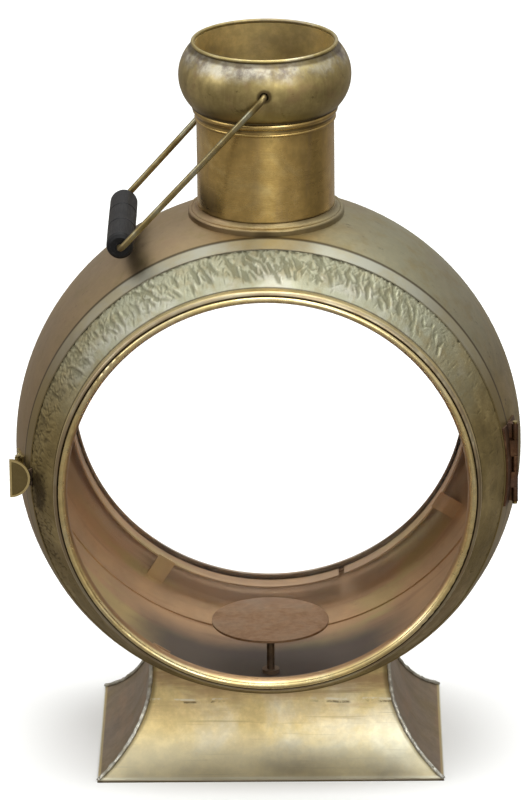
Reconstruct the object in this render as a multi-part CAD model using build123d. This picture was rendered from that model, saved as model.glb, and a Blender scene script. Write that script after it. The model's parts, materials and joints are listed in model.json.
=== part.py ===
"""A brass ship lantern: a ball-shaped drum with a round window front and back, on a flared plinth.

The front window is a hinged door held by a hook catch.  A chimney with a bulged crown stands on the drum
and carries a wire bail with a turned grip, and a candle plate stands inside.  Everything is sheet brass
unless a function says otherwise.

Row frame, millimetres: origin at the middle of the plinth's underside, +Z up, the door facing -Y.
The drum is spun about Y and the chimney about Z.  Each function returns one named piece.
"""
from build123d import *
from math import asin, cos, degrees, radians, sin, sqrt
import os

# ---------------------------------------------------------------- driving dimensions
SHEET = 1.2              # wall of the drum, the plinth and the bezels
THIN = 1.0               # wall of the chimney, hoops and leaves
FIT = 0.3                # gap between pieces that move past each other

DRUM_R = 160.0           # drum at its widest, half way between the windows
MERIDIAN_R = 162.0       # radius of the drum's arc from front to back
DRUM_Z = 202.0           # drum centre above the table
BAND_Y = 50.0            # half length of the drum's middle band
SHELL_Y = 89.5           # where the front and back shells meet their bezels
CHIMNEY_HOLE_R = 43.0    # the tube passes through the drum here

DOOR_GAP = 0.5           # seam between the band and the door
RIM_WIDTH = 10.5         # flat rim round the door's open edge
RIM_HEIGHT = 0.6
SEAT_OVERLAP = 4.0       # how far the seat hoop reaches into the door
SEAM_STRIP_Y = (48.5, 60.0)
SEAM_STRIP = 0.9

BEZEL_R = 130.0          # middle of the bezels' mouldings
REAR_ROLL = 2.6
DOOR_LIP_R = 124.5       # clear opening of the front window
REAR_LIP_R = 125.8       # clear opening of the back window
DOOR_CREST = 99.0        # how far the bezels stand from the drum's middle
REAR_CREST = 94.0
DOOR_GLASS_Y = 92.0      # outer face of each pane
REAR_GLASS_Y = 85.0
GLASS_R = 131.0
GLASS = 3.0
HOOP_R = 128.0           # inside of the hoops that hold the panes
DOOR_HOOP_WIDTH = 6.0
REAR_HOOP_WIDTH = 12.0
HOOP_SPLIT = 4.0
CLIP_WIDTH = 12.0
CLIP_REACH_R = 126.8     # how far a clip comes over its hoop
CLIP_ANGLES = (58, 148, 238, 328)
REAR_SPLIT_ANGLE = 291
DOOR_SPLIT_ANGLE = 100

TUBE_R = 43.0
TUBE_BOTTOM = 146.0      # heights from here to PIVOT_Z are above the drum centre
BEAD_Z = 221.6
BEAD_R = 45.4
SLEEVE_R = 43.5          # thin sleeve under the bead, with a second fine bead at its foot
LOW_BEAD_R = 44.2
LOW_BEAD_Z = 215.9
LOW_BEAD = 1.1
BULB_BASE = (46.3, 224.6)
BULB_R = 53.9
BULB_Z = 244.0
BULB_TOP = (45.2, 263.0)
RIM_WIRE = 1.2
MOUTH_SLEEVE_R = 44.1    # straight sleeve inside the bulb
MOUTH_SLEEVE = 0.8
FLANGE_TOP = (43.7, 159.0)
FLANGE_WAIST = (46.3, 156.2)
FLANGE_ROLL = (47.9, 156.5)
FLANGE_R = 48.9
FLANGE_EDGE_Z = 155.2

PIVOT_Z = 244.4          # bail pivots, through the widest part of the bulb
PIVOT_HOLE = 2.8
WIRE = 2.0               # bail wire radius
BAIL_PIVOT_Y = 57.5
BAIL_GRIP_Y = 51.5
BAIL_LENGTH = 134.0
BAIL_BENDS = (3.2, 4.0, 4.5)
HOOK_TAIL = 9.0          # wire end turned down inside the bulb
HOOK_Y = 46.5
GRIP_R = 8.75
GRIP_LENGTH = 92.0
GRIP_BORE = 2.1
GRIP_GROOVE_AT = 15.0    # two turned grooves divide the grip in three
GRIP_GROOVE = 1.0
GRIP_CLEARANCE = 2.5     # between the resting grip and the drum

PLINTH_X = 109.3         # half size of the plinth's foot
PLINTH_Y = 77.4
FOOT_PLATE = 1.6
FLARE_IN = 34.0          # how far the sides come in
FLARE_TOP = 62.0         # above this the sides stand upright
FLARE_R = ((FLARE_TOP - FOOT_PLATE) ** 2 + FLARE_IN ** 2) / (2 * FLARE_IN)
PLINTH_TOP = 76.0
FOOT_PROUD = 0.6
SEAM_BEAD = 1.3

PLATE_Z = 79.6           # top of the candle plate
PLATE_R = 37.5
PLATE = 1.5
STEM_R = 2.5
STEM_FOOT_R = 5.5
STEM_FOOT = 2.4

HINGE_X, HINGE_Y = 154.8, -50.25
HINGE_BARREL = 2.0
HINGE_PIN = 1.0
HINGE_Z = 205.0
HINGE_LENGTH = 52.0
HINGE_KNUCKLES = 5
HINGE_SETBACK = 3.0      # from the pin to the near edge of each leaf
LEAF_REACH = 12.0
RIM_LEAF_REACH = 6.6     # the door's leaf lies on its rim
PIN_FIT = 0.06
KNUCKLE_GAP = 0.15       # at each end of a knuckle

CATCH_X, CATCH_Y = -156.8, -46.0
CATCH_BARREL = 2.2
CATCH_PIN = 1.1
CATCH_Z = 202.0
CATCH_HEIGHT = 14.0
CATCH_KNUCKLE = 4.0      # each of the leaf's two; the hook's fills what is between them
CATCH_KNUCKLE_GAP = 0.2
CATCH_LEAF_BACK = -30.0
HOOK_ARM_HEIGHT = 10.0
HOOK_FRONT_Y = -65.0     # face of the half-round tongue
HOOK_OUT_X = -161.4
HOOK_TIP_X = -148.6
TONGUE_HEIGHT = 25.0
TONGUE_LIP = 1.4         # raised rim round the tongue
TONGUE_LIP_PROUD = 0.8
KEEPER_Y = (-63.3, -61.3)
KEEPER_R = 6.0
KEEPER_PROUD = 2.6


# ---------------------------------------------------------------- shared shapes
def drum_radius(y, inset=0.0):
    """Radius of the drum at a distance y from its middle, some way in from the outside."""
    return DRUM_R - MERIDIAN_R + sqrt((MERIDIAN_R - inset) ** 2 - y * y)


def spun_about_y(face):
    """A section drawn as (radius, y), spun about the drum's axis and lifted to the drum's height."""
    return Pos(0, 0, DRUM_Z) * revolve(face, Axis.Y)


def spun_about_z(face):
    """A section drawn as (radius, height above the drum centre), spun about the chimney's axis."""
    return Pos(0, 0, DRUM_Z) * revolve(Plane.XZ * face, Axis.Z)


def drum_band(y0, y1, outer=0.0, inner=SHEET):
    """A band of the drum's wall from y0 to y1, between two depths measured in from the outside."""
    middle = (y0 + y1) / 2
    corners = [(drum_radius(y, depth), y) for depth in (outer, inner) for y in (y0, middle, y1)]
    outside = ThreePointArc(corners[0], corners[1], corners[2])
    inside = ThreePointArc(corners[3], corners[4], corners[5])
    ends = [Line(corners[2], corners[5]), Line(corners[0], corners[3])]
    return spun_about_y(make_face([outside, inside] + ends))


def drum_core(inset=0.0):
    """The solid ball that the drum's outside, or an inner skin of it, would fill."""
    reach = SHELL_Y
    side = drum_radius(reach, inset)
    outside = ThreePointArc((side, -reach), (drum_radius(0, inset), 0), (side, reach))
    sides = Polyline((side, reach), (0, reach), (0, -reach), (side, -reach))
    return spun_about_y(make_face([outside, sides]))


def box_between(low, high):
    size = [b - a for a, b in zip(low, high)]
    middle = [(a + b) / 2 for a, b in zip(low, high)]
    return Pos(*middle) * Box(*size)


def upright(radius, x, y, z0, z1):
    return Pos(x, y, (z0 + z1) / 2) * Cylinder(radius, z1 - z0)


def flat_ring(inner, outer, y0, y1):
    return spun_about_y(Pos((inner + outer) / 2, (y0 + y1) / 2) * Rectangle(outer - inner, abs(y1 - y0)))


def around_drum(piece, angle):
    """Turns a piece about the drum's axis, from the +X side up towards the chimney."""
    lowered = Pos(0, 0, -DRUM_Z) * piece
    return Pos(0, 0, DRUM_Z) * (Rot(0, -angle, 0) * lowered)


# ---------------------------------------------------------------- drum
def band():
    chimney_hole = upright(CHIMNEY_HOLE_R, 0, 0, DRUM_Z + 100, DRUM_Z + DRUM_R + 10)
    return drum_band(-BAND_Y, BAND_Y) - chimney_hole


def door_seat():
    """Hoop soldered inside the band's front edge, which the closed door slips over."""
    soldered = drum_band(-BAND_Y, -BAND_Y + 6, SHEET, SHEET + THIN)
    spigot = drum_band(-BAND_Y - SEAT_OVERLAP, -BAND_Y, SHEET + 0.4, SHEET + THIN)
    return soldered + spigot


def rear_bezel():
    """A pressed ring with a rolled edge, whose rounded lip turns in to the pane."""
    roll_y = REAR_CREST - REAR_ROLL
    lean = radians(30)

    def skin(depth):
        radius = REAR_ROLL - depth
        start = (drum_radius(SHELL_Y) - depth, SHELL_Y)
        outer = (BEZEL_R + radius, roll_y)
        crease = (BEZEL_R - radius * cos(lean), roll_y - radius * sin(lean))
        foot = (REAR_LIP_R + depth, REAR_GLASS_Y)
        turn = (REAR_LIP_R + depth + 0.5, (roll_y + REAR_GLASS_Y) / 2 - 0.4)
        rolled = ThreePointArc(outer, (BEZEL_R, roll_y + radius), crease)
        return start, foot, [Line(start, outer), rolled, ThreePointArc(crease, turn, foot)]

    start, foot, outside = skin(0.0)
    inner_start, inner_foot, inside = skin(SHEET)
    return spun_about_y(make_face(outside + inside + [Line(foot, inner_foot), Line(start, inner_start)]))


def door_bezel():
    """A sloped moulding, a fine groove and a bright bead, whose lip turns in to the pane."""
    start = (drum_radius(SHELL_Y), SHELL_Y)
    shoulder, slope_top = (BEZEL_R + 3.1, DOOR_CREST - 5.8), (BEZEL_R + 0.6, DOOR_CREST - 2.1)
    groove, bead_start = (BEZEL_R + 0.3, DOOR_CREST - 2.8), (BEZEL_R - 0.1, DOOR_CREST - 2.1)
    bead_top, crease = (BEZEL_R - 1.7, DOOR_CREST), (BEZEL_R - 3.3, DOOR_CREST - 2.4)
    lip_turn, foot = (DOOR_LIP_R + 0.6, DOOR_GLASS_Y + 2.6), (DOOR_LIP_R, DOOR_GLASS_Y)
    outside = [
        Line(start, shoulder), ThreePointArc(shoulder, (BEZEL_R + 2.2, DOOR_CREST - 3.0), slope_top),
        Line(slope_top, groove), Line(groove, bead_start), ThreePointArc(bead_start, bead_top, crease),
        ThreePointArc(crease, lip_turn, foot)]
    back_foot, back_turn = (foot[0] + SHEET, foot[1]), (lip_turn[0] + SHEET, lip_turn[1] - 0.3)
    back_crease, back_start = (BEZEL_R - 2.0, DOOR_CREST - 3.4), (start[0] - SHEET, start[1])
    under_shoulder = (shoulder[0] - SHEET, shoulder[1])
    inside = [
        ThreePointArc(back_foot, back_turn, back_crease),
        ThreePointArc(back_crease, (BEZEL_R + 0.6, DOOR_CREST - 3.9), under_shoulder),
        Line(under_shoulder, back_start)]
    ring = spun_about_y(make_face(outside + [Line(foot, back_foot)] + inside + [Line(back_start, start)]))
    return Rot(0, 0, 180) * ring


def pane(y0, y1):
    """A round pane of window glass."""
    return Pos(0, (y0 + y1) / 2, DRUM_Z) * (Rot(90, 0, 0) * Cylinder(GLASS_R, y1 - y0))


def hoop(y0, y1, split_angle):
    """A strip bent into a ring, with a small gap where its ends meet."""
    ring = flat_ring(HOOP_R, HOOP_R + THIN, y0, y1)
    gap = box_between((HOOP_R - 5, -200, DRUM_Z - HOOP_SPLIT / 2), (HOOP_R + 5, 200, DRUM_Z + HOOP_SPLIT / 2))
    return ring - around_drum(gap, split_angle)


def clips(y0, y1):
    """Flat tabs, soldered to the shell and bent over the hoop's edge."""
    tab = box_between((CLIP_REACH_R, y0, DRUM_Z - CLIP_WIDTH / 2), (DRUM_R, y1, DRUM_Z + CLIP_WIDTH / 2))
    tab = tab & drum_core(SHEET)
    return Compound(children=[around_drum(tab, angle) for angle in CLIP_ANGLES])


def door_rim():
    y0 = -BAND_Y - DOOR_GAP - RIM_WIDTH
    return drum_band(y0, -BAND_Y - DOOR_GAP, -RIM_HEIGHT, 0.0)


# ---------------------------------------------------------------- chimney
def neck_flange(drum):
    """Low collar round the tube, flaring out to a rolled edge and shaped to the drum under it."""
    base = TUBE_BOTTOM
    waist_bend = ((FLANGE_TOP[0] + FLANGE_WAIST[0]) / 2 - 0.4, (FLANGE_TOP[1] + FLANGE_WAIST[1]) / 2 - 0.4)
    outline = [
        Line((TUBE_R, base), (TUBE_R, FLANGE_TOP[1])), Line((TUBE_R, FLANGE_TOP[1]), FLANGE_TOP),
        ThreePointArc(FLANGE_TOP, waist_bend, FLANGE_WAIST),
        ThreePointArc(FLANGE_WAIST, FLANGE_ROLL, (FLANGE_R, FLANGE_EDGE_Z)),
        Line((FLANGE_R, FLANGE_EDGE_Z), (FLANGE_R, base)), Line((FLANGE_R, base), (TUBE_R, base))]
    return spun_about_z(make_face(outline)) - drum


def bulb_foot_z():
    return BULB_BASE[1] - 0.6


def chimney_tube():
    top = bulb_foot_z()
    wall = Pos(TUBE_R - THIN / 2, (TUBE_BOTTOM + top) / 2) * Rectangle(THIN, top - TUBE_BOTTOM)
    return spun_about_z(wall)


def chimney_bead():
    """Sleeve over the joint between tube and bulb, with a full bead at its top and a fine one at its foot."""
    top = bulb_foot_z()
    bottom = 2 * BEAD_Z - top
    low_top, foot = LOW_BEAD_Z + LOW_BEAD, LOW_BEAD_Z - LOW_BEAD
    outline = [
        ThreePointArc((TUBE_R, top), (BEAD_R, BEAD_Z), (SLEEVE_R, bottom)),
        Line((SLEEVE_R, bottom), (SLEEVE_R, low_top)),
        ThreePointArc((SLEEVE_R, low_top), (LOW_BEAD_R, LOW_BEAD_Z), (TUBE_R, foot)),
        Line((TUBE_R, foot), (TUBE_R, top))]
    return spun_about_z(make_face(outline))


def chimney_bulb():
    """Spun bulb with an inturned foot, and a hole front and back for the bail."""
    foot_z = bulb_foot_z()
    mouth = (BULB_TOP[0] - THIN, BULB_TOP[1])
    waist = (BULB_BASE[0] - THIN, BULB_BASE[1] + THIN)
    outside = ThreePointArc(BULB_BASE, (BULB_R, BULB_Z), BULB_TOP)
    inside = ThreePointArc(mouth, (BULB_R - THIN, BULB_Z), waist)
    top = Line(BULB_TOP, mouth)
    foot = Polyline(
        waist, (TUBE_R - THIN, foot_z + THIN), (TUBE_R - THIN, foot_z), (BULB_BASE[0], foot_z), BULB_BASE)
    bulb = spun_about_z(make_face([outside, top, inside, foot]))
    holes = Pos(0, 0, DRUM_Z + PIVOT_Z) * (Rot(90, 0, 0) * Cylinder(PIVOT_HOLE, 2 * BULB_R + 10))
    return bulb - holes


def mouth_sleeve(bulb):
    """Straight sleeve from the bulb's foot to its mouth, which hides the bail's hooked ends."""
    bottom, top = bulb_foot_z(), BULB_TOP[1]
    wall = Rectangle(MOUTH_SLEEVE, top - bottom)
    wall = Pos(MOUTH_SLEEVE_R - MOUTH_SLEEVE / 2, (bottom + top) / 2) * wall
    return spun_about_z(wall) - bulb


def rim_wire():
    """Wire rolled round the mouth of the bulb."""
    return spun_about_z(Pos(BULB_TOP[0] - THIN / 2, BULB_TOP[1] + RIM_WIRE) * Circle(RIM_WIRE))


# ---------------------------------------------------------------- bail and grip
def bail_angle():
    """Angle below level at which the grip rests just clear of the drum."""
    reach = DRUM_R + GRIP_R + GRIP_CLEARANCE
    return degrees(asin((BAIL_LENGTH ** 2 + PIVOT_Z ** 2 - reach ** 2) / (2 * PIVOT_Z * BAIL_LENGTH)))


def bail_place():
    """From a bail drawn flat, its length along +X and its pivots on Y, to where it rests."""
    return Pos(0, 0, DRUM_Z + PIVOT_Z) * Rot(0, 180 - bail_angle(), 0)


def bail_wire():
    corners = [
        (HOOK_TAIL, -HOOK_Y), (0, -HOOK_Y), (0, -BAIL_PIVOT_Y), (BAIL_LENGTH, -BAIL_GRIP_Y),
        (BAIL_LENGTH, BAIL_GRIP_Y), (0, BAIL_PIVOT_Y), (0, HOOK_Y), (HOOK_TAIL, HOOK_Y)]
    path = FilletPolyline(*corners, radius=BAIL_BENDS + BAIL_BENDS[::-1])
    start = Plane(origin=path @ 0, z_dir=path % 0)
    return bail_place() * sweep(start * Circle(WIRE), path=path)


def grip():
    """Turned black grip, free to roll on the wire, with two grooves and rounded ends."""
    half = GRIP_LENGTH / 2
    end = [(GRIP_BORE, half), (GRIP_R - 2.6, half), (GRIP_R - 0.8, half - 1.4), (GRIP_R - 0.1, half - 4.0)]
    groove = [(GRIP_R, GRIP_GROOVE_AT + GRIP_GROOVE), (GRIP_R - GRIP_GROOVE, GRIP_GROOVE_AT),
              (GRIP_R, GRIP_GROOVE_AT - GRIP_GROOVE)]
    far_side = end + groove
    near_side = [(radius, -along) for radius, along in reversed(far_side)]
    turned = revolve(make_face(Polyline(*far_side, *near_side, close=True)), Axis.Y)
    return bail_place() * (Pos(BAIL_LENGTH, 0, 0) * turned)


# ---------------------------------------------------------------- plinth
def flare(foot):
    """Section of one plinth side, drawn as (distance out, height), foot being how far out it starts."""
    top = foot - FLARE_IN
    centre = top + FLARE_R

    def out_at(z, radius):
        return centre - sqrt(radius ** 2 - (FLARE_TOP - z) ** 2)

    def skin(radius):
        heights = (FOOT_PLATE, FLARE_TOP / 2, FLARE_TOP)
        return [(out_at(z, radius), z) for z in heights]

    outer, inner = skin(FLARE_R), skin(FLARE_R + SHEET)
    wall = [ThreePointArc(*outer), ThreePointArc(*inner), Line(outer[0], inner[0])]
    upper = Polyline(outer[2], (top, PLINTH_TOP), (top - SHEET, PLINTH_TOP), inner[2])
    return make_face(wall + [upper])


def plinth_mitre(facing_y):
    """Plan outline of the wedge that one side sheet keeps, drawn for the +X or the +Y side."""
    spread = PLINTH_X - PLINTH_Y
    far = PLINTH_X + 20
    if facing_y:
        corners = [(far, far - spread), (spread, 0), (-spread, 0), (-far, far - spread)]
    else:
        corners = [(far, far - spread), (spread, 0), (far, spread - far)]
    return extrude(make_face(Polyline(*corners, close=True)), PLINTH_TOP + 5)


def plinth_sheet(facing_y, sign, drum, beads):
    """One side of the plinth, mitred at its ends, cut to sit under the drum and to hold the seam beads."""
    if facing_y:
        sheet = extrude(Plane.YZ * flare(PLINTH_Y), PLINTH_X, both=True)
    else:
        sheet = extrude(Plane.XZ * flare(PLINTH_X), PLINTH_Y, both=True)
    sheet = sheet & plinth_mitre(facing_y)
    if sign < 0:
        sheet = mirror(sheet, Plane.XZ if facing_y else Plane.YZ)
    return sheet - drum - beads


def corner_beads(drum):
    """Runs of solder down the four corners of the plinth."""
    centre = FLARE_IN - FLARE_R - 0.3
    heights = (FOOT_PLATE, 12.0, 26.0, 42.0, FLARE_TOP, PLINTH_TOP - 3)
    come_in = [centre + sqrt(FLARE_R ** 2 - (FLARE_TOP - min(z, FLARE_TOP)) ** 2) for z in heights]
    points = [(PLINTH_X - t, PLINTH_Y - t, z) for t, z in zip(come_in, heights)]
    path = Spline(*points)
    start = Plane(origin=path @ 0, z_dir=path % 0)
    bead = sweep(start * Circle(SEAM_BEAD), path=path)
    floor = box_between((-200, -200, -20), (200, 200, FOOT_PLATE))
    bead = bead - drum - floor
    right = [bead, mirror(bead, Plane.XZ)]
    return Compound(children=right + [mirror(piece, Plane.YZ) for piece in right])


def foot_plate():
    half_x, half_y = PLINTH_X + FOOT_PROUD, PLINTH_Y + FOOT_PROUD
    return box_between((-half_x, -half_y, 0), (half_x, half_y, FOOT_PLATE))


# ---------------------------------------------------------------- candle plate
def candle_plate():
    return upright(PLATE_R, 0, 0, PLATE_Z - PLATE, PLATE_Z)


def stem_base_z():
    return DRUM_Z - DRUM_R + SHEET + STEM_FOOT


def candle_stem():
    return upright(STEM_R, 0, 0, stem_base_z(), PLATE_Z - PLATE)


def stem_foot():
    """Solder-set washer on the bottom of the drum."""
    disc = upright(STEM_FOOT_R, 0, 0, DRUM_Z - DRUM_R, stem_base_z())
    return disc & drum_core(SHEET)


# ---------------------------------------------------------------- door hinge
def hinge_leaf(side, reach, raised, knuckles):
    """A leaf shaped to the drum with its share of the barrel; side is +1 behind the seam, -1 on the door."""
    z0 = HINGE_Z - HINGE_LENGTH / 2
    pitch = HINGE_LENGTH / HINGE_KNUCKLES
    near, far = sorted((HINGE_Y + side * HINGE_SETBACK, HINGE_Y + side * (HINGE_SETBACK + reach)))
    leaf = drum_band(near, far, -raised - THIN, -raised)
    leaf = leaf & box_between((100, near, z0), (200, far, z0 + HINGE_LENGTH))
    clear_of = drum_core(-raised - 0.3)
    for i in knuckles:
        low = z0 + i * pitch + KNUCKLE_GAP
        high = z0 + (i + 1) * pitch - KNUCKLE_GAP
        web_y = sorted((HINGE_Y + side * 0.5, HINGE_Y + side * (HINGE_SETBACK + 1.0)))
        web = box_between((HINGE_X - 7, web_y[0], low), (HINGE_X - 0.3, web_y[1], high))
        leaf = leaf + upright(HINGE_BARREL, HINGE_X, HINGE_Y, low, high) + (web - clear_of)
    bore = upright(HINGE_PIN + PIN_FIT, HINGE_X, HINGE_Y, z0 - 1, z0 + HINGE_LENGTH + 1)
    return leaf - bore


def hinge_pin():
    z0 = HINGE_Z - HINGE_LENGTH / 2
    shank = upright(HINGE_PIN, HINGE_X, HINGE_Y, z0 - 0.6, z0 + HINGE_LENGTH + 0.6)
    heads = [upright(HINGE_BARREL - 0.4, HINGE_X, HINGE_Y, z, z + 0.8)
             for z in (z0 - 1.4, z0 + HINGE_LENGTH + 0.6)]
    return shank + heads[0] + heads[1]


# ---------------------------------------------------------------- hook catch
def catch_knuckle(low, high):
    return upright(CATCH_BARREL, CATCH_X, CATCH_Y, low, high)


def catch_bore():
    return upright(CATCH_PIN + PIN_FIT, CATCH_X, CATCH_Y, CATCH_Z - CATCH_HEIGHT, CATCH_Z + CATCH_HEIGHT)


def catch_leaf(drum):
    """Leaf soldered and riveted to the band, with the outer two knuckles."""
    z0, z1 = CATCH_Z - CATCH_HEIGHT / 2, CATCH_Z + CATCH_HEIGHT / 2
    near = CATCH_Y + 2.6
    leaf = drum_band(near, CATCH_LEAF_BACK, -THIN, 0.0)
    leaf = leaf & box_between((-200, near, z0), (-100, CATCH_LEAF_BACK, z1))
    for low, high in ((z0, z0 + CATCH_KNUCKLE), (z1 - CATCH_KNUCKLE, z1)):
        web = box_between((CATCH_X + 0.4, CATCH_Y + 0.4, low), (CATCH_X + 4, near + 0.6, high))
        leaf = leaf + catch_knuckle(low, high) + web
    return leaf - catch_bore() - drum


def catch_hook():
    """Strip with a middle knuckle, running forward and folded in to a half-round tongue with a raised rim."""
    z0, z1 = CATCH_Z - CATCH_HEIGHT / 2, CATCH_Z + CATCH_HEIGHT / 2
    low, high = z0 + CATCH_KNUCKLE + CATCH_KNUCKLE_GAP, z1 - CATCH_KNUCKLE - CATCH_KNUCKLE_GAP
    arm_front = HOOK_FRONT_Y + 0.4
    arm = make_face(Polyline(
        (CATCH_X - 1.4, CATCH_Y - 1.4), (CATCH_X - 2.2, CATCH_Y + 0.2), (HOOK_OUT_X, arm_front),
        (HOOK_OUT_X + SHEET, arm_front), close=True))
    arm = Pos(0, 0, CATCH_Z - HOOK_ARM_HEIGHT / 2) * extrude(arm, HOOK_ARM_HEIGHT)
    clear_ends = upright(CATCH_BARREL + FIT, CATCH_X, CATCH_Y, z0 - 1, low)
    clear_ends = clear_ends + upright(CATCH_BARREL + FIT, CATCH_X, CATCH_Y, high, z1 + 1)

    def half_round(inset):
        reach, width = TONGUE_HEIGHT / 2 - inset, HOOK_TIP_X - HOOK_OUT_X - inset
        low_end, high_end = (inset, -reach), (inset, reach)
        return make_face([Line(high_end, low_end), ThreePointArc(low_end, (width, 0), high_end)])

    plate, rim = half_round(0.0), half_round(0.0) - half_round(TONGUE_LIP)
    tongue = extrude(Plane.XZ * plate, SHEET) + extrude(Plane.XZ * rim, SHEET + TONGUE_LIP_PROUD)
    tongue = Pos(HOOK_OUT_X, HOOK_FRONT_Y + SHEET, CATCH_Z) * tongue
    return catch_knuckle(low, high) + (arm - clear_ends) + tongue - catch_bore()


def catch_pin():
    z0, z1 = CATCH_Z - CATCH_HEIGHT / 2, CATCH_Z + CATCH_HEIGHT / 2
    shank = upright(CATCH_PIN, CATCH_X, CATCH_Y, z0 - 0.4, z1 + 0.4)
    caps = [upright(CATCH_BARREL - 0.4, CATCH_X, CATCH_Y, z, z + 0.7) for z in (z0 - 1.1, z1 + 0.4)]
    return shank + caps[0] + caps[1]


def catch_rivets(drum, leaf):
    """Two round heads through the catch's leaf."""
    heads = []
    for z in (CATCH_Z - 4.0, CATCH_Z + 4.0):
        y = (CATCH_Y + CATCH_LEAF_BACK) / 2 + 2
        x = -sqrt((drum_radius(y) + THIN) ** 2 - (z - DRUM_Z) ** 2)
        heads.append((Pos(x + 0.8, y, z) * Sphere(2.3)) - drum - leaf)
    return Compound(children=heads)


def catch_keeper():
    """Small lug on the door, just behind the hook's tongue."""
    back, front = KEEPER_Y[1], KEEPER_Y[0]
    lug = Rot(90, 0, 0) * Cylinder(KEEPER_R, 2 * (back - front))
    lug = Pos(-drum_radius(front) + 1.0, (front + back) / 2, CATCH_Z) * lug
    return (lug & drum_band(front, back, -KEEPER_PROUD, 0.0)) - drum_core()


# ---------------------------------------------------------------- assembly
def build():
    drum = drum_core()
    beads = corner_beads(drum)
    catch = catch_leaf(drum)
    bulb = chimney_bulb()
    door_hoop_back = -DOOR_GLASS_Y + GLASS + DOOR_HOOP_WIDTH
    rear_hoop_front = REAR_GLASS_Y - GLASS - REAR_HOOP_WIDTH
    parts = {
        "drum_band": band(),
        "door_seat": door_seat(),
        "rear_seam_strip": drum_band(*SEAM_STRIP_Y, SHEET, SHEET + SEAM_STRIP),
        "rear_shell": drum_band(BAND_Y, SHELL_Y),
        "rear_bezel": rear_bezel(),
        "rear_glass": pane(REAR_GLASS_Y - GLASS, REAR_GLASS_Y),
        "rear_hoop": hoop(rear_hoop_front, REAR_GLASS_Y - GLASS, REAR_SPLIT_ANGLE),
        "rear_clips": clips(rear_hoop_front - THIN, rear_hoop_front),
        "door_shell": drum_band(-SHELL_Y, -BAND_Y - DOOR_GAP),
        "door_rim": door_rim(),
        "door_bezel": door_bezel(),
        "door_glass": pane(-DOOR_GLASS_Y, -DOOR_GLASS_Y + GLASS),
        "door_hoop": hoop(-DOOR_GLASS_Y + GLASS, door_hoop_back, DOOR_SPLIT_ANGLE),
        "door_clips": clips(door_hoop_back, door_hoop_back + THIN),
        "neck_flange": neck_flange(drum),
        "chimney_tube": chimney_tube(),
        "chimney_bead": chimney_bead(),
        "chimney_bulb": bulb,
        "mouth_sleeve": mouth_sleeve(bulb),
        "rim_wire": rim_wire(),
        "bail_wire": bail_wire(),
        "grip": grip(),
        "plinth_front": plinth_sheet(True, -1, drum, beads),
        "plinth_back": plinth_sheet(True, 1, drum, beads),
        "plinth_left": plinth_sheet(False, -1, drum, beads),
        "plinth_right": plinth_sheet(False, 1, drum, beads),
        "corner_beads": beads,
        "foot_plate": foot_plate(),
        "candle_plate": candle_plate(),
        "candle_stem": candle_stem(),
        "stem_foot": stem_foot(),
        "hinge_leaf_body": hinge_leaf(+1, LEAF_REACH, 0.0, (0, 2, 4)),
        "hinge_leaf_door": hinge_leaf(-1, RIM_LEAF_REACH, RIM_HEIGHT, (1, 3)),
        "hinge_pin": hinge_pin(),
        "catch_leaf": catch,
        "catch_pin": catch_pin(),
        "catch_hook": catch_hook(),
        "catch_rivets": catch_rivets(drum, catch),
        "catch_keeper": catch_keeper(),
    }
    os.makedirs("parts", exist_ok=True)
    for name, shape in parts.items():
        export_step(shape, f"parts/{name}.step")


build()
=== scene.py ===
"""Looks for a brass ship lantern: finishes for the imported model, a hammered door, solder and a stage."""

import json
import math
import random

import bpy
import numpy as np
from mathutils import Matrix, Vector


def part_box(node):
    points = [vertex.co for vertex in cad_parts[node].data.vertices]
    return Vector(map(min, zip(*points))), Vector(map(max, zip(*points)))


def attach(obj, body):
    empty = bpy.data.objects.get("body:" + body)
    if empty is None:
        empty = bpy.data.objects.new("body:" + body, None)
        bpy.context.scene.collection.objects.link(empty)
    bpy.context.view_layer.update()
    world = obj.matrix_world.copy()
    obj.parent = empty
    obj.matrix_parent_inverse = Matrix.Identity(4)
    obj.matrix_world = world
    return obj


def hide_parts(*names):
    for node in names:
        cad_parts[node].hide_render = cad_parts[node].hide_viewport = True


bl_info = {
    "name": "Ship Lantern",
    "version": (1, 0, 0),
    "blender": (4, 5, 0),
    "location": "3D View > Sidebar > Lantern",
    "description": "Gives a brass ship lantern its finishes, its hammered door and its solder, and lights it",
    "category": "Object",
}

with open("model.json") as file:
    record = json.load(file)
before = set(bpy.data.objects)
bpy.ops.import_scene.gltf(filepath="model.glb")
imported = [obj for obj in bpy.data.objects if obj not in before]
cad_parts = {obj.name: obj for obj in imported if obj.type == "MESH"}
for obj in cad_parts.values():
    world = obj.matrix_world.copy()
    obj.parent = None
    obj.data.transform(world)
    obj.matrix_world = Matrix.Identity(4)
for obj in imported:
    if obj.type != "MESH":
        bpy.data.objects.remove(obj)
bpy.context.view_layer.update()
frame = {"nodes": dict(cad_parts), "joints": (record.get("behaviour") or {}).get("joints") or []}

MM = 0.001
TAU = 2 * math.pi
DRUM_LOW, DRUM_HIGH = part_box("drum_band")
DRUM_R = DRUM_HIGH.x
DRUM_Z = DRUM_LOW.z + DRUM_R
SHELL_LOW, SHELL_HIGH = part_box("door_shell")
RIM_LOW, RIM_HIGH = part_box("door_rim")
FOOT_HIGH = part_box("foot_plate")[1]
BULB_LOW, BULB_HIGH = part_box("chimney_bulb")
TUBE_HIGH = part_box("chimney_tube")[1]
KEEPER_LOW, KEEPER_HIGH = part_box("catch_keeper")
HINGE_LOW, HINGE_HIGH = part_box("hinge_pin")
HOOK_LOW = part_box("catch_hook")[0]
COLLAR_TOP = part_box("neck_flange")[1].z
PIVOT = Vector(next(joint["pos_m"] for joint in frame["joints"] if joint["name"] == "bail_swing"))

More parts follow.
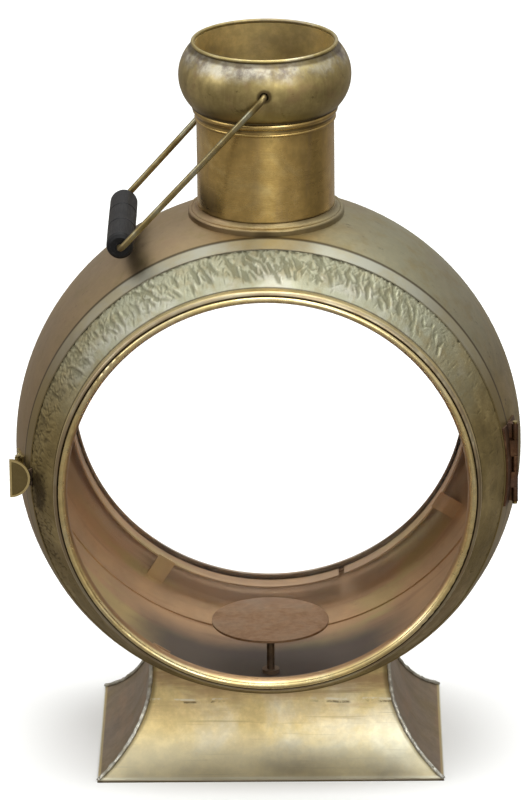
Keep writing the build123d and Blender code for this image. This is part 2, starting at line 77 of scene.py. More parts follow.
# The drum's sheet bends on a circle from its widest ring to the edge of the door's shell.
WALL = 1.2 * MM
SHELL_DROP = DRUM_R - SHELL_HIGH.x
MERIDIAN = (SHELL_HIGH.y ** 2 + SHELL_DROP ** 2) / (2 * SHELL_DROP)

# The front bezel: its lip covers the pane's edge, and its bead ends a little further out.
PANE_LOW, PANE_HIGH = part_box("door_glass")
LIP_COVER = 4.3 * MM
BEAD_WIDTH = 3.6 * MM
LIP_R = (PANE_HIGH.x - PANE_LOW.x) / 2 - LIP_COVER
BEAD_EDGE = LIP_R + BEAD_WIDTH

# Patterns on the drum are laid out on this radius.
PATTERN_R = 0.145

# Chisel marks: the radius that their places are measured on, and how far they may sink or rise.
BAND_R = 143 * MM
DEEPEST = 0.7 * MM
HIGHEST = 0.5 * MM
MARK_SEED = 11

# What the camera sees, and where it stands.
CAMERA_PLACE = Vector((0.0382, -3.7018, 1.583))
CAMERA_TARGET = Vector((-0.0026, 0.0, 0.2292))
CAMERA_ROLL = math.radians(-0.6)
LIGHT_TARGET = Vector((0, 0, 0.25))
LIGHTS = (
    ("overhead_light", (0.1, 0.1, 2.4), 1.6, 30.0),
    ("front_light", (0.9, -2.0, 1.7), 1.1, 16.0),
    ("left_light", (-2.2, -0.6, 1.5), 1.2, 10.0),
)

# Colours of the floor and of the sky round it, as light.
FLOOR_WHITE = (0.93, 0.93, 0.93)
FLOOR_FAR, FLOOR_NEAR, FLOOR_BESIDE = (0.36, 0.33, 0.30), (1.20, 1.17, 1.05), (0.09, 0.08, 0.06)
SKY_LOW, SKY_MIDDLE, SKY_TOP = (0.44, 0.41, 0.38), (0.62, 0.60, 0.58), (1.45, 1.50, 1.48)
SKY_FRONT = (1.15, 1.10, 1.02)
BACKDROP = (1.0, 1.0, 1.0)


# ---------------------------------------------------------------- what a user may change
def colour(label, words, value):
    return bpy.props.FloatVectorProperty(name=label, description=words, subtype="COLOR", size=3, min=0, max=1,
                                         default=value)


def length(label, words, value):
    return bpy.props.FloatProperty(name=label, description=words, subtype="DISTANCE", unit="LENGTH", min=0,
                                   default=value)


class LanternColours(bpy.types.PropertyGroup):
    """Colours of the lantern's metals, and of the light and shade painted on them."""

    gold: colour("Gold", "Clean brass on the chimney and the bezels", (0.62, 0.43, 0.15))
    straw: colour("Straw", "Pale brass on the plinth", (0.74, 0.60, 0.29))
    olive: colour("Olive", "Brass gone green-brown with age", (0.26, 0.20, 0.085))
    # Umber also paints shade: down the foot's side, in the plinth's creases and where the tube goes into the
    # collar.
    umber: colour("Umber", "Deep tarnish in recesses", (0.060, 0.042, 0.020))
    rose: colour("Rose", "Pinkish brown of the drum's shoulders", (0.37, 0.265, 0.17))
    copper: colour("Copper", "Brown smudges and the candle plate", (0.40, 0.245, 0.14))
    lining: colour("Lining", "Dull brown inside the drum", (0.56, 0.36, 0.20))
    bronze: colour("Bronze", "Green-brown of the bulged crown", (0.40, 0.32, 0.135))
    drab: colour("Drab", "Grey-brown of the plinth's sides", (0.27, 0.205, 0.13))
    moss: colour("Moss", "Green-grey in the door's chisel marks", (0.19, 0.185, 0.115))
    pewter: colour("Pewter", "Cool grey on the solder and the door", (0.46, 0.45, 0.40))
    # On top of the door this colour also paints a reflection of the bright sky.
    verdigris: colour("Verdigris", "Pale grey-green of the hammered door", (0.37, 0.38, 0.29))
    smoke: colour("Smoke", "Purple-grey heat stain", (0.17, 0.15, 0.16))
    # Silver also paints highlights: on the foot's hem, in the plinth's creases and among the bulb's heat
    # stains.
    silver: colour("Silver", "Rubbed, almost white metal", (0.74, 0.71, 0.58))
    rust: colour("Rust", "Red-brown of the hinge", (0.13, 0.065, 0.035))
    # Dark solder beside the catch, darkened further as painted shadow under the catch's tongue.
    soot: colour("Soot", "Burnt solder beside the catch", (0.06, 0.045, 0.032))
    ebony: colour("Ebony", "Black-stained grip", (0.0035, 0.0035, 0.004))


class LanternSizes(bpy.types.PropertyGroup):
    """Sizes of the worked surfaces and of the stage."""

    fleck_depth: length("Fleck depth", "How deep the chisel marks on the door are cut", 0.34 * MM)
    fleck_count: bpy.props.IntProperty(name="Flecks", description="Most chisel marks round the door", min=0,
                                       default=5200)
    seam_lump: length("Seam lump", "How uneven the solder on the plinth is", 1.1 * MM)
    keeper_lump: length("Keeper lump", "How uneven the solder beside the catch is", 1.0 * MM)
    floor_size: length("Floor size", "Side of the floor", 30.0)
    camera_lens: bpy.props.FloatProperty(name="Lens", description="Focal length", unit="CAMERA",
                                         default=280.2)


def colours():
    return bpy.context.scene.lantern_colours


def sizes():
    return bpy.context.scene.lantern_sizes


# ---------------------------------------------------------------- node building
def node(tree, kind, settings=None, **inputs):
    """Adds a node; inputs are numbers, colours or other sockets, under their names with _ for a space."""
    made = tree.nodes.new(kind)
    for name, value in (settings or {}).items():
        setattr(made, name, value)
    for name, value in inputs.items():
        if name[0] == "i" and name[1:].isdigit():
            socket = made.inputs[int(name[1:])]
        else:
            socket = made.inputs[name.replace("_", " ")]
        if isinstance(value, bpy.types.NodeSocket):
            tree.links.new(value, socket)
        elif hasattr(value, "__len__") and len(value) == 3 and socket.type == "RGBA":
            socket.default_value = (*value, 1.0)
        else:
            socket.default_value = value
    return made


def math_node(tree, operation, first, second=0.0):
    return node(tree, "ShaderNodeMath", {"operation": operation}, i0=first, i1=second).outputs[0]


def plus(tree, first, second):
    return math_node(tree, "ADD", first, second)


def minus(tree, first, second):
    return math_node(tree, "SUBTRACT", first, second)


def times(tree, first, second):
    return math_node(tree, "MULTIPLY", first, second)


def larger(tree, first, second):
    return math_node(tree, "MAXIMUM", first, second)


def positive(tree, value):
    return math_node(tree, "ABSOLUTE", value)


def vector_node(tree, operation, first, second):
    return node(tree, "ShaderNodeVectorMath", {"operation": operation}, i0=first, i1=second).outputs[0]


def length_of(tree, vector):
    return node(tree, "ShaderNodeVectorMath", {"operation": "LENGTH"}, i0=vector).outputs["Value"]


def axes(tree, vector):
    """A vector's X, Y and Z."""
    return node(tree, "ShaderNodeSeparateXYZ", {}, Vector=vector).outputs


def ramp(tree, value, low, high, out_low=0.0, out_high=1.0):
    """A smooth step from low to high."""
    made = node(tree, "ShaderNodeMapRange", {"interpolation_type": "SMOOTHSTEP", "clamp": True}, Value=value,
                From_Min=low, From_Max=high, To_Min=out_low, To_Max=out_high)
    return made.outputs[0]


def mix(tree, factor, first, second, blend="MIX"):
    made = node(tree, "ShaderNodeMix", {"data_type": "RGBA", "blend_type": blend, "clamp_factor": True},
                i0=factor, i6=first, i7=second)
    return made.outputs[2]


def mix_value(tree, factor, first, second):
    made = node(tree, "ShaderNodeMix", {"data_type": "FLOAT", "clamp_factor": True},
                i0=factor, i2=first, i3=second)
    return made.outputs[0]


def coat(tree, color, paint, mask, strength):
    """Paint over a colour where the mask is one, as strong as strength."""
    return mix(tree, times(tree, mask, strength), color, paint)


def patches(tree, vector, scale, detail, rough, low, high):
    """Uneven patches: noise, from zero at low to one at high."""
    return ramp(tree, noise(tree, vector, scale, detail, rough), low, high)


def noise(tree, vector, scale, detail=4.0, rough=0.55, distortion=0.0):
    return node(tree, "ShaderNodeTexNoise", {}, Vector=vector, Scale=scale, Detail=detail, Roughness=rough,
                Distortion=distortion).outputs["Fac"]


def mapped(tree, vector, shift=(0, 0, 0), turn=(0, 0, 0), scale=(1, 1, 1)):
    return node(tree, "ShaderNodeMapping", {}, Vector=vector, Location=shift, Rotation=turn,
                Scale=scale).outputs[0]


def new_group(name, inputs, outputs):
    """A shader node group; inputs are (name, kind, default), outputs are (name, kind)."""
    tree = bpy.data.node_groups.new(name, "ShaderNodeTree")
    kinds = {"value": "NodeSocketFloat", "colour": "NodeSocketColor", "vector": "NodeSocketVector"}
    for title, kind, default in inputs:
        socket = tree.interface.new_socket(name=title, in_out="INPUT", socket_type=kinds[kind])
        if default is not None:
            socket.default_value = (*default, 1.0) if kind == "colour" else default
    for title, kind in outputs:
        tree.interface.new_socket(name=title, in_out="OUTPUT", socket_type=kinds[kind])
    return tree, tree.nodes.new("NodeGroupInput").outputs, tree.nodes.new("NodeGroupOutput").inputs


def aged_metal_group():
    """Metal with clouds of tarnish, rubbed bright patches, smoky stains, fine rubbing lines and pits."""
    tree, given, out = new_group("aged_metal", (
        ("Vector", "vector", None), ("Bright", "colour", (0.6, 0.4, 0.2)),
        ("Body", "colour", (0.4, 0.3, 0.15)), ("Dark", "colour", (0.1, 0.07, 0.03)),
        ("Stain", "colour", (0.2, 0.2, 0.2)), ("Cloud", "value", 30.0), ("Rubbed", "value", 0.4),
        ("Tarnish", "value", 0.4), ("Stained", "value", 0.2), ("Lines", "value", 0.3),
        ("Pits", "value", 0.3), ("Smooth", "value", 0.28), ("Rough", "value", 0.5)), (
        ("Color", "colour"), ("Roughness", "value"), ("Height", "value")))
    where = given["Vector"]
    clouds = noise(tree, where, given["Cloud"], 5.0, 0.6, 0.4)
    drift = noise(tree, mapped(tree, where, (3.1, 1.7, 5.3)), times(tree, given["Cloud"], 0.45), 3.0)
    speckle = noise(tree, mapped(tree, where, (7.7, 2.9, 1.1)), times(tree, given["Cloud"], 6.0), 6.0, 0.7)
    rubbed = times(tree, ramp(tree, clouds, 0.45, 0.7), given["Rubbed"])
    tarnish = times(tree, ramp(tree, clouds, 0.52, 0.3), given["Tarnish"])
    stained = times(tree, ramp(tree, drift, 0.5, 0.68), given["Stained"])
    painted = mix(tree, rubbed, given["Body"], given["Bright"])
    painted = mix(tree, tarnish, painted, given["Dark"])
    painted = mix(tree, stained, painted, given["Stain"])
    grit = ramp(tree, speckle, 0.35, 0.7, 0.86, 1.1)
    painted = mix(tree, 1.0, painted, node(tree, "ShaderNodeCombineColor", {}, Red=grit, Green=grit,
                                           Blue=grit).outputs[0], "MULTIPLY")
    lines = noise(tree, mapped(tree, where, scale=(40.0, 40.0, 900.0)), 1.0, 3.0, 0.6)
    cells = node(tree, "ShaderNodeTexVoronoi", {"feature": "F1"}, Vector=where, Scale=120.0).outputs
    chosen = math_node(tree, "LESS_THAN", noise(tree, cells["Position"], 40.0, 0.0), 0.40)
    pit = times(tree, ramp(tree, cells["Distance"], 0.16, 0.05), chosen)
    pit = times(tree, pit, given["Pits"])
    painted = mix(tree, pit, painted, given["Dark"])
    out_rough = mix_value(tree, ramp(tree, clouds, 0.35, 0.65), given["Rough"], given["Smooth"])
    out_rough = plus(tree, out_rough, times(tree, stained, 0.12))
    out_rough = plus(tree, out_rough, times(tree, minus(tree, lines, 0.5), times(tree, given["Lines"], 0.3)))
    height = minus(tree, times(tree, lines, times(tree, given["Lines"], 0.25)), pit)
    height = plus(tree, height, times(tree, speckle, 0.12))
    tree.links.new(painted, out["Color"])
    tree.links.new(out_rough, out["Roughness"])
    tree.links.new(height, out["Height"])
    return tree


def round_drum_group():
    """Where a point lies on the drum: up, to the side, in front, how far from the axis and under the outside.

    Wall is a pattern space that follows the sheet; Along squeezes it from front to back.
    """
    tree, given, out = new_group("round_the_drum", (("Vector", "vector", None), ("Along", "value", 0.3)), (
        ("Wall", "vector"), ("Up", "value"), ("Side", "value"), ("Front", "value"), ("Radius", "value"),
        ("Depth", "value")))
    centred = vector_node(tree, "SUBTRACT", given["Vector"], (0, 0, DRUM_Z))
    flat = vector_node(tree, "MULTIPLY", centred, (1, 0, 1))
    ray = node(tree, "ShaderNodeVectorMath", {"operation": "NORMALIZE"}, i0=flat).outputs[0]
    wall = node(tree, "ShaderNodeVectorMath", {"operation": "SCALE"}, Vector=ray, Scale=PATTERN_R).outputs[0]
    depth = axes(tree, centred)["Y"]
    stretched = node(tree, "ShaderNodeCombineXYZ", {}, Y=times(tree, depth, given["Along"]))
    wall = vector_node(tree, "ADD", wall, stretched.outputs[0])
    parts = axes(tree, ray)
    tree.links.new(wall, out["Wall"])
    tree.links.new(parts["Z"], out["Up"])
    tree.links.new(parts["X"], out["Side"])
    tree.links.new(times(tree, depth, -1.0), out["Front"])
    radius = length_of(tree, flat)
    arch = minus(tree, MERIDIAN ** 2, times(tree, depth, depth))
    outside = plus(tree, math_node(tree, "SQRT", arch), DRUM_R - MERIDIAN)
    tree.links.new(radius, out["Radius"])
    tree.links.new(minus(tree, outside, radius), out["Depth"])
    return tree


GROUPS = {}


def group(tree, name, **inputs):
    """Places a shared effect, building it the first time."""
    makers = {"aged_metal": aged_metal_group, "round_the_drum": round_drum_group}
    if name not in GROUPS:
        GROUPS[name] = makers[name]()
    return node(tree, "ShaderNodeGroup", {"node_tree": GROUPS[name]}, **inputs).outputs


def blank_material(name):
    """A material with only a Principled BSDF, its tree and where a point is on the object."""
    made = bpy.data.materials.new(name)
    made.use_nodes = True
    tree = made.node_tree
    tree.nodes.clear()
    shader = tree.nodes.new("ShaderNodeBsdfPrincipled")
    surface = tree.nodes.new("ShaderNodeOutputMaterial")
    tree.links.new(shader.outputs[0], surface.inputs[0])
    where = node(tree, "ShaderNodeTexCoord").outputs["Object"]
    return made, tree, shader, where


def connect(tree, shader, **sockets):
    for name, value in sockets.items():
        socket = shader.inputs[name.replace("_", " ")]
        if isinstance(value, bpy.types.NodeSocket):
            tree.links.new(value, socket)
        elif socket.type == "RGBA":
            socket.default_value = (*value, 1.0)
        else:
            socket.default_value = value


def bump(tree, height, strength, distance):
    return node(tree, "ShaderNodeBump", {}, Strength=strength, Distance=distance, Height=height).outputs[0]


def aged(name, bright, body, dark, stain, finish, **amounts):
    """An aged metal. finish(tree, shader, where, color, rough) may paint over it and returns both again."""
    made, tree, shader, where = blank_material(name)
    look = group(tree, "aged_metal", Vector=where, Bright=bright, Body=body, Dark=dark, Stain=stain,
                 **amounts)
    color, rough = look["Color"], look["Roughness"]
    connect(tree, shader, Metallic=1.0)
    if finish:
        color, rough = finish(tree, shader, where, color, rough)
    connect(tree, shader, Base_Color=color, Roughness=rough,
            Normal=bump(tree, look["Height"], 0.15, 0.6 * MM))
    return made


def dress(material, *nodes):
    """Gives CAD nodes a material."""
    for name in nodes:
        for slot in frame["nodes"][name].material_slots:
            slot.material = material


def dress_piece(piece, material):
    piece.data.materials.clear()
    piece.data.materials.append(material)


# ---------------------------------------------------------------- modelling by hand
def nothing_selected():
    if bpy.context.object and bpy.context.object.mode != "OBJECT":
        bpy.ops.object.mode_set(mode="OBJECT")
    bpy.ops.object.select_all(action="DESELECT")


def draw_outline(name, points):
    """Draws a chain of edges by extruding one point along the outline, and stays in edit mode."""
    nothing_selected()
    bpy.ops.mesh.primitive_plane_add(size=MM, location=points[0])
    bpy.ops.object.transform_apply(location=True, rotation=True, scale=True)
    piece = bpy.context.object
    piece.name = piece.data.name = name
    bpy.ops.object.mode_set(mode="EDIT")
    bpy.ops.mesh.select_mode(type="VERT")
    bpy.ops.mesh.select_all(action="SELECT")
    bpy.ops.mesh.merge(type="CENTER")
    for before, after in zip(points, points[1:]):
        step = Vector(after) - Vector(before)
        bpy.ops.mesh.extrude_region_move(TRANSFORM_OT_translate={"value": step})
    return piece


def spin_closed(steps, centre, axis):
    """Spins the outline once round and closes the seam."""
    bpy.ops.mesh.select_all(action="SELECT")
    bpy.ops.mesh.spin(steps=steps, dupli=False, angle=TAU, center=centre, axis=axis)
    bpy.ops.mesh.select_all(action="SELECT")
    bpy.ops.mesh.remove_doubles(threshold=0.00002)
    bpy.ops.mesh.normals_make_consistent(inside=False)
    bpy.ops.object.mode_set(mode="OBJECT")
    bpy.ops.object.shade_smooth()


def own(piece, body, slot, *replaced):
    """Ties a new piece to its body and hides the CAD nodes that it stands for; slot is not used."""
    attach(piece, body)
    if replaced:
        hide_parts(*replaced)
    return piece


def wall_radius(y):
    """Radius of the drum's outside at a distance y from its middle."""
    return DRUM_R - MERIDIAN + np.sqrt(MERIDIAN ** 2 - y ** 2)


def lumpy_copy(name, body, voxel, lump, grain, bead):
    """Solder: a CAD bead copied, remeshed finely and swollen unevenly. It stands for the bead."""
    nothing_selected()
    frame["nodes"][bead].select_set(True)
    bpy.context.view_layer.objects.active = frame["nodes"][bead]
    bpy.ops.object.duplicate()
    piece = bpy.context.view_layer.objects.active
    piece.name = piece.data.name = name
    for key in [key for key in piece.keys() if key.startswith("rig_")]:
        del piece[key]
    bpy.ops.object.mode_set(mode="EDIT")
    bpy.ops.mesh.select_all(action="SELECT")
    bpy.ops.mesh.remove_doubles(threshold=0.00001)
    bpy.ops.object.mode_set(mode="OBJECT")
    texture = bpy.data.textures.new(name, "CLOUDS")
    texture.noise_scale = grain
    remesh = piece.modifiers.new("even", "REMESH")
    remesh.mode = "VOXEL"
    remesh.voxel_size = voxel
    swell = piece.modifiers.new("lumps", "DISPLACE")
    swell.texture = texture
    swell.texture_coords = "LOCAL"
    swell.strength = lump
    swell.mid_level = 0.5
    soften = piece.modifiers.new("soften", "SMOOTH")
    soften.factor = 0.5
    soften.iterations = 2
    for modifier in ("even", "lumps", "soften"):
        bpy.ops.object.modifier_apply(modifier=modifier)
    bpy.ops.object.shade_smooth()
    return own(piece, body, "solder", bead)


# ---------------------------------------------------------------- finishes
def line_at(tree, value, place, half_width):
    """A soft line where a value comes near a place."""
    away = positive(tree, minus(tree, value, place))
    return ramp(tree, away, half_width, half_width * 0.35)


def spot_at(tree, where, centre, reach):
    """A soft round spot, one at its centre."""
    away = vector_node(tree, "SUBTRACT", where, centre)
    size = [1 / side for side in reach]
    away = vector_node(tree, "MULTIPLY", away, size)
    ragged = plus(tree, length_of(tree, away), times(tree,
            minus(tree, noise(tree, where, 160.0, 4.0, 0.65), 0.5), 0.9))
    return ramp(tree, ragged, 1.0, 0.45)


def uneven(tree, value, where, scale, amount):
    """A value pushed about by noise."""
    return plus(tree, value, times(tree, minus(tree, noise(tree, where, scale), 0.5), amount))


def seams(tree, spot, where, color, rough):
    """Dark lines where door, rim and bezel meet, burned metal beside the hinge, and burned metal with the
    tongue's painted shadow beside the catch.
    """
    tint = colours()
    grooves = times(tree, line_at(tree, spot["Front"], -RIM_HIGH.y - 0.3 * MM, 2.4 * MM), 0.85)
    for place, width, strength in (
            (-RIM_LOW.y + 0.3 * MM, 1.1 * MM, 0.25), (-SHELL_LOW.y - 0.2 * MM, 0.9 * MM, 0.7)):
        line = times(tree, line_at(tree, spot["Front"], place, width), strength)
        grooves = larger(tree, grooves, line)
    color = mix(tree, grooves, color, tint.umber)
    # Beside the catch the dark spot is burned metal together with the painted shadow of the catch's tongue.
    keeper = (KEEPER_LOW + KEEPER_HIGH) / 2 + Vector((0.009, -0.006, -0.005))
    hinge = (HINGE_LOW + HINGE_HIGH) / 2
    burnt = spot_at(tree, where, keeper, (0.013, 0.016, 0.021))
    for end in (HINGE_LOW.z, HINGE_HIGH.z):
        burnt = larger(tree, burnt, times(tree, spot_at(tree, where, (hinge.x, hinge.y, end),
                (0.008, 0.008, 0.007)), 0.8))
    color = coat(tree, color, tint.umber, burnt, 0.93)
    return color, plus(tree, rough, times(tree, burnt, 0.15))


def dull_lining(tree, spot, where):
    """Brown lining, pinker and golden in patches, the gold low down partly a painted sheen, with sooty grey
    and painted shade low down in front, under the candle plate.
    """
    tint = colours()
    pinker = patches(tree, where, 17.0, 5.0, 0.6, 0.4, 0.65)
    pink = mix(tree, 0.5, tint.lining, tint.rose)
    dull = mix(tree, pinker, tint.lining, pink)
    rings = noise(tree, mapped(tree, where, scale=(9.0, 130.0, 9.0)), 1.0, 4.0, 0.6)
    dull = coat(tree, dull, tint.copper, ramp(tree, rings, 0.5, 0.66), 0.55)
    # Golden patches low down: the lining's own tone with a painted sheen on the drum's floor.
    gold = patches(tree, mapped(tree, where, (0.5, 0.8, 0.1), scale=(9.0, 40.0, 9.0)), 1.0, 3.0, 0.55, 0.5,
                   0.65)
    dull = coat(tree, dull, mix(tree, 0.4, tint.bronze, tint.straw),
                times(tree, gold, ramp(tree, spot["Up"], -0.3, -0.8)), 0.8)
    speckle = patches(tree, where, 110.0, 4.0, 0.6, 0.55, 0.72)
    dull = coat(tree, dull, tint.copper, speckle, 0.35)
    # Low down in front, under the candle plate: sooty grey with painted shade.
    low = ramp(tree, uneven(tree, spot["Up"], where, 12.0, 0.2), -0.80, -0.94)
    near = ramp(tree, uneven(tree, spot["Front"], where, 20.0, 16 * MM), -50 * MM, -24 * MM)
    soot = mix(tree, 0.6, tint.smoke, tint.umber)
    return coat(tree, dull, soot, times(tree, low, near), 0.93)


def lined(tree, shader, spot, where, color, rough):
    """Dull brown on the inside of the drum's sheet, where the metal is oxidised."""
    inside = ramp(tree, spot["Depth"], 0.85 * WALL, 0.95 * WALL)
    connect(tree, shader, Metallic=mix_value(tree, inside, 1.0, 0.45))
    return mix(tree, inside, color, dull_lining(tree, spot, where)), mix_value(tree, inside, rough, 0.5)


def lining_finish(tree, shader, where, color, rough):
    """Hoops, tabs and strips inside the drum, as dull as its lining."""
    spot = group(tree, "round_the_drum", Vector=where)
    connect(tree, shader, Metallic=0.6)
    return mix(tree, 0.7, color, dull_lining(tree, spot, where)), rough


def drum_finish(tree, shader, where, color, rough):
    """Rosy shoulders, greener on the right, a smooth greenish rim, copper-brown inside."""
    tint = colours()
    spot = group(tree, "round_the_drum", Vector=where)
    left = ramp(tree, uneven(tree, spot["Side"], where, 14.0, 0.9), 0.55, -0.35)
    color = coat(tree, color, tint.rose, left, 0.6)
    right = ramp(tree, uneven(tree, spot["Side"], where, 18.0, 0.6), 0.0, 0.5)
    right = times(tree, right, ramp(tree, spot["Up"], 0.2, 0.7))
    color = coat(tree, color, tint.verdigris, right, 0.5)
    ruddy = patches(tree, mapped(tree, where, (0.4, 0.1, 0.9)), 9.0, 3.0, 0.55, 0.56, 0.72)
    color = coat(tree, color, tint.copper, ruddy, 0.35)
    mottle = patches(tree, mapped(tree, where, (0.9, 0.3, 0.2)), 60.0, 6.0, 0.7, 0.48, 0.66)
    color = coat(tree, color, tint.olive, mottle, 0.45)
    scuff = noise(tree, mapped(tree, where, (0.1, 0.4, 0.7), scale=(1.0, 1.5, 1.0)), 90.0, 6.0, 0.75)
    color = coat(tree, color, tint.umber, ramp(tree, scuff, 0.6, 0.72), 0.5)
    rim = times(tree, ramp(tree, spot["Front"], -RIM_HIGH.y, -RIM_HIGH.y + 0.4 * MM), 0.8)
    crown = ramp(tree, uneven(tree, spot["Up"], where, 30.0, 0.5), 0.2, 0.95)
    rubbed = patches(tree, mapped(tree, where, (0.3, 0.6, 0.9)), 48.0, 6.0, 0.7, 0.4, 0.64)
    green = mix(tree, 0.55, tint.verdigris, tint.pewter)
    worn = mix(tree, crown, tint.olive, coat(tree, green, tint.bronze, rubbed, 0.35))
    color = mix(tree, rim, color, worn)
    color, rough = seams(tree, spot, where, color, rough)
    return lined(tree, shader, spot, where, color, rough)


def bezel_finish(tree, shader, where, color, rough):
    """A light edge, a grey-brown slope, a dark groove and a bright bead; dull where the lip turns in."""
    tint = colours()
    spot = group(tree, "round_the_drum", Vector=where)
    slope = mix(tree, patches(tree, where, 45.0, 4.0, 0.55, 0.4, 0.65), tint.drab,
                mix(tree, 0.6, tint.pewter, tint.olive))
    slope_zone = ramp(tree, spot["Radius"], BEAD_EDGE, BEAD_EDGE + 0.4 * MM)
    color = coat(tree, color, slope, slope_zone, 0.9)
    edge = line_at(tree, spot["Radius"], LIP_R + 6.4 * MM, 0.5 * MM)
    color = coat(tree, color, tint.straw, edge, 0.6)
    groove = line_at(tree, spot["Radius"], BEAD_EDGE + 0.2 * MM, 0.7 * MM)
    foot = ramp(tree, spot["Radius"], LIP_R + 7.4 * MM, LIP_R + 8.4 * MM)
    color = coat(tree, color, tint.umber, larger(tree, groove, foot), 0.85)
    lip = ramp(tree, spot["Radius"], LIP_R - 0.1 * MM, LIP_R - 1.3 * MM)
    return coat(tree, color, tint.copper, lip, 0.85), plus(tree, rough,
            times(tree, larger(tree, slope_zone, lip), 0.14))


def tube_finish(tree, shader, where, color, rough):
    """Dark tarnish where the tube meets the collar, with a painted shadow line in the gap there, and under
    the beads.
    """
    tint = colours()
    height = axes(tree, where)["Z"]
    # Painted shadow line where the tube goes into the collar, over some tarnish.
    foot = ramp(tree, uneven(tree, height, where, 90.0, 1.5 * MM), COLLAR_TOP + 1.4 * MM, COLLAR_TOP)
    under = ramp(tree, uneven(tree, height, where, 70.0, 3.0 * MM), TUBE_HIGH.z - 16 * MM,
                 TUBE_HIGH.z - 8 * MM)
    groove = line_at(tree, height, TUBE_HIGH.z - 5.2 * MM, 1.6 * MM)
    dark = larger(tree, times(tree, foot, 0.9), larger(tree, times(tree, under, 0.25),
            times(tree, groove, 0.7)))
    drip = patches(tree, mapped(tree, where, scale=(1, 1, 0.12)), 80.0, 4.0, 0.6, 0.5, 0.7)
    color = coat(tree, color, tint.rose, drip, 0.3)
    return mix(tree, dark, color, tint.umber), rough


def bulb_finish(tree, shader, where, color, rough):
    """Grey heat stains under the mouth with painted pale highlights among them, streaks, olive low down that
    is tarnish and a painted reflection of the darker ground, and dark lines at mouth, waist and the bail's
    holes.
    """
    tint = colours()
    parts = axes(tree, where)
    height = parts["Z"]
    upper = ramp(tree, uneven(tree, height, where, 55.0, 9 * MM), BULB_HIGH.z - 13 * MM, BULB_HIGH.z - 5 * MM)
    blotch = patches(tree, mapped(tree, where, scale=(1, 1, 0.8)), 48.0, 6.0, 0.7, 0.3, 0.6)
    # The pale silver mixed into the heat stains is a painted highlight.
    pale = mix(tree, 0.75, tint.smoke, tint.silver)
    grey = mix(tree, patches(tree, where, 110.0, 5.0, 0.7, 0.35, 0.65), tint.smoke, pale)
    murk = patches(tree, mapped(tree, where, (0.6, 0.2, 0.8)), 55.0, 5.0, 0.65, 0.5, 0.66)
    color = coat(tree, color, mix(tree, 0.4, tint.copper, tint.olive), murk, 0.5)
    spots = patches(tree, mapped(tree, where, (0.2, 0.9, 0.3)), 130.0, 5.0, 0.7, 0.6, 0.7)
    color = coat(tree, color, tint.umber, spots, 0.6)
    streak = noise(tree, mapped(tree, where, scale=(1, 1, 0.16)), 150.0, 3.0, 0.6)
    color = coat(tree, color, tint.olive, ramp(tree, streak, 0.5, 0.68), 0.5)
    color = coat(tree, color, grey, times(tree, upper, blotch), 0.8)
    # Olive towards the bottom: tarnish, and a painted reflection of the darker ground.
    low = ramp(tree, uneven(tree, height, where, 60.0, 8 * MM), BULB_LOW.z + 17 * MM, BULB_LOW.z + 5 * MM)
    color = coat(tree, color, tint.olive, low, 0.6)
    waist = ramp(tree, uneven(tree, height, where, 90.0, 1.6 * MM), BULB_LOW.z + 3.4 * MM,
                 BULB_LOW.z + 0.6 * MM)
    neck = line_at(tree, uneven(tree, height, where, 40.0, 2.0 * MM), BULB_HIGH.z - 0.8 * MM, 2.6 * MM)
    away = node(tree, "ShaderNodeCombineXYZ", {}, X=parts["X"], Y=minus(tree, height, PIVOT.z)).outputs[0]
    ring = length_of(tree, away)
    hole = ramp(tree, uneven(tree, ring, where, 150.0, 1.5 * MM), 5.4 * MM, 3.6 * MM)
    dark = larger(tree, times(tree, waist, 0.8), larger(tree, times(tree, neck, 0.7),
            times(tree, hole, 0.85)))
    color = mix(tree, dark, color, tint.umber)
    return color, plus(tree, rough, times(tree, upper, 0.08))


def beside_solder(tree, where, parts, reach):
    """One along the plinth's corners, fading out at about reach from the solder."""
    ridge = minus(tree, positive(tree, parts["X"]), positive(tree, parts["Y"]))
    return line_at(tree, uneven(tree, ridge, where, 45.0, 3 * MM), FOOT_HIGH.x - FOOT_HIGH.y, reach)


